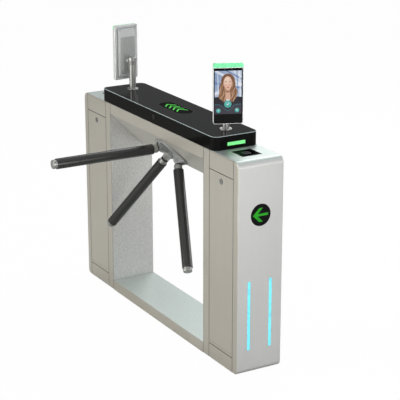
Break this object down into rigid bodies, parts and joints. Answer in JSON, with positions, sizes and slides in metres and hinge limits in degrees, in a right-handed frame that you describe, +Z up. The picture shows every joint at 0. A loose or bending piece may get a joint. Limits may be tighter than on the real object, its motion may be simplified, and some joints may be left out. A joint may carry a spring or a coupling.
{
  "type": "tripod turnstile",
  "caption": "Bridge-type tripod turnstile with two pillars, a beam rotor with folding arms, a gloss lid and swivelling face terminals.",
  "frame": {"origin": "centre of the base, on the floor", "axes": "+X along the cabinet, -Y to the passage side that the arms reach into, +Z up"},
  "size_m": [1.5, 0.7601, 1.354],
  "materials": {
    "stainless_side": "satin brushed",
    "stainless_end": "satin brushed",
    "stainless_inner": "bead blasted",
    "machined_steel": "machined",
    "hub_steel": "satin cast and machined",
    "bright_steel": "polished",
    "arm_black": "satin black",
    "lid_black": "gloss black",
    "glass_black": "gloss",
    "led_green": "lit diffuser",
    "bar_green": "lit diffuser",
    "bar_mint": "lit diffuser",
    "bar_cyan": "lit diffuser",
    "terminal_silver": "bead blasted",
    "board_green": "matte",
    "reader_grey": "matte",
    "zinc": "zinc plated"
  },
  "bodies": {
    "cabinet": {"base_plates": "zinc", "sill_bar": "zinc", "sill": "stainless_side", "end_panel_right": "stainless_end", "end_panel_left": "stainless_end", "inner_post_right": "stainless_side", "inner_post_left": "stainless_side", "header_panels": "stainless_side", "plinth_panels": "stainless_side", "rear_panels": "stainless_side", "beam_front": "stainless_inner", "beam_rear": "stainless_side", "bearing_housing": "machined_steel", "bearings": "bright_steel", "lock_bracket": "zinc", "lock_coils": "reader_grey", "control_board": "board_green", "power_supply": "zinc", "light_strips": "bar_cyan", "arrow_windows": "glass_black", "arrow_modules": "reader_grey", "card_windows": "glass_black", "card_readers": "reader_grey", "hinge_leaves_fixed": "bright_steel"},
    "rotor": {"hub": "hub_steel", "main_shaft": "machined_steel", "index_disc": "machined_steel", "shaft_nut": "zinc", "arm_pins": "bright_steel"},
    "lid": {"lid_shell": "lid_black", "status_bars": "bar_green", "display_window": "glass_black", "display_chevrons": "led_green", "hinge_leaves_lid": "bright_steel", "pole_right": "bright_steel", "pole_left": "bright_steel"},
    "lid_key": {"lid_lock": "bright_steel"},
    "arm_1": {"arm_knuckle_1": "bright_steel", "arm_sleeve_1": "arm_black", "arm_cap_1": "bright_steel"},
    "arm_2": {"arm_knuckle_2": "bright_steel", "arm_sleeve_2": "arm_black", "arm_cap_2": "bright_steel"},
    "arm_3": {"arm_knuckle_3": "bright_steel", "arm_sleeve_3": "arm_black", "arm_cap_3": "bright_steel"},
    "door_right": {"door_right": "stainless_side"},
    "door_key_right": {"door_lock_right": "bright_steel"},
    "lock_plunger_right": {"lock_plunger_right": "machined_steel"},
    "terminal_swivel_right": {"swivel_head_right": "bright_steel"},
    "terminal_right": {"terminal_shell_right": "terminal_silver", "terminal_glass_right": "glass_black", "terminal_light_right": "bar_mint"},
    "door_left": {"door_left": "stainless_side"},
    "door_key_left": {"door_lock_left": "bright_steel"},
    "lock_plunger_left": {"lock_plunger_left": "machined_steel"},
    "terminal_swivel_left": {"swivel_head_left": "bright_steel"},
    "terminal_left": {"terminal_shell_left": "terminal_silver", "terminal_glass_left": "glass_black", "terminal_light_left": "bar_mint"}
  },
  "joints": [
    {"name": "rotor_spin", "type": "hinge", "parent": "cabinet", "child": "rotor", "pos_m": [0, -0.02308, 0.83508], "axis": [0, -0.7071, -0.7071], "continuous": true},
    {"name": "arm_1_drop", "type": "hinge", "parent": "rotor", "child": "arm_1", "pos_m": [0, -0.08304, 0.86011], "axis": [1, 0, 0], "range_deg": [0, 90]},
    {"name": "arm_2_drop", "type": "hinge", "parent": "rotor", "child": "arm_2", "pos_m": [0.05205, -0.01929, 0.79636], "axis": [-0.5, 0.6124, -0.6124], "range_deg": [0, 45]},
    {"name": "arm_3_drop", "type": "hinge", "parent": "rotor", "child": "arm_3", "pos_m": [-0.05205, -0.01929, 0.79636], "axis": [-0.5, -0.6124, 0.6124], "range_deg": [0, 45]},
    {"name": "lid_hinge", "type": "hinge", "parent": "cabinet", "child": "lid", "pos_m": [0, 0.1195, 0.9803], "axis": [-1, 0, 0], "range_deg": [0, 75]},
    {"name": "lid_key_turn", "type": "hinge", "parent": "lid", "child": "lid_key", "pos_m": [0, -0.115, 1.014], "axis": [0, -1, 0], "range_deg": [0, 90]},
    {"name": "door_right_hinge", "type": "hinge", "parent": "cabinet", "child": "door_right", "pos_m": [0.6095, -0.115, 0.0864], "axis": [1, 0, 0], "range_deg": [0, 25]},
    {"name": "door_right_key_turn", "type": "hinge", "parent": "door_right", "child": "door_key_right", "pos_m": [0.6104, -0.115, 0.8626], "axis": [0, 1, 0], "range_deg": [0, 90]},
    {"name": "lock_right_slide", "type": "slide", "parent": "cabinet", "child": "lock_plunger_right", "axis": [-1, 0, 0], "range_m": [0, 0.008], "stiffness_N_per_m": 300},
    {"name": "terminal_right_swivel", "type": "hinge", "parent": "lid", "child": "terminal_swivel_right", "pos_m": [0.445, 0.006, 1.1], "axis": [0, 0, 1], "range_deg": [-45, 45]},
    {"name": "terminal_right_tilt", "type": "hinge", "parent": "terminal_swivel_right", "child": "terminal_right", "pos_m": [0.47538, -0.00689, 1.1799], "axis": [0.3907, 0.9205, 0], "range_deg": [-20, 10]},
    {"name": "door_left_hinge", "type": "hinge", "parent": "cabinet", "child": "door_left", "pos_m": [-0.6095, -0.115, 0.0864], "axis": [1, 0, 0], "range_deg": [0, 25]},
    {"name": "door_left_key_turn", "type": "hinge", "parent": "door_left", "child": "door_key_left", "pos_m": [-0.6104, -0.115, 0.8626], "axis": [0, -1, 0], "range_deg": [0, 90]},
    {"name": "lock_left_slide", "type": "slide", "parent": "cabinet", "child": "lock_plunger_left", "axis": [1, 0, 0], "range_m": [0, 0.008], "stiffness_N_per_m": 300},
    {"name": "terminal_left_swivel", "type": "hinge", "parent": "lid", "child": "terminal_swivel_left", "pos_m": [-0.445, 0.006, 1.1], "axis": [0, 0, 1], "range_deg": [-45, 45]},
    {"name": "terminal_left_tilt", "type": "hinge", "parent": "terminal_swivel_left", "child": "terminal_left", "pos_m": [-0.47779, 0.00226, 1.1799], "axis": [0.1132, -0.9936, 0], "range_deg": [-20, 10]}
  ]
}
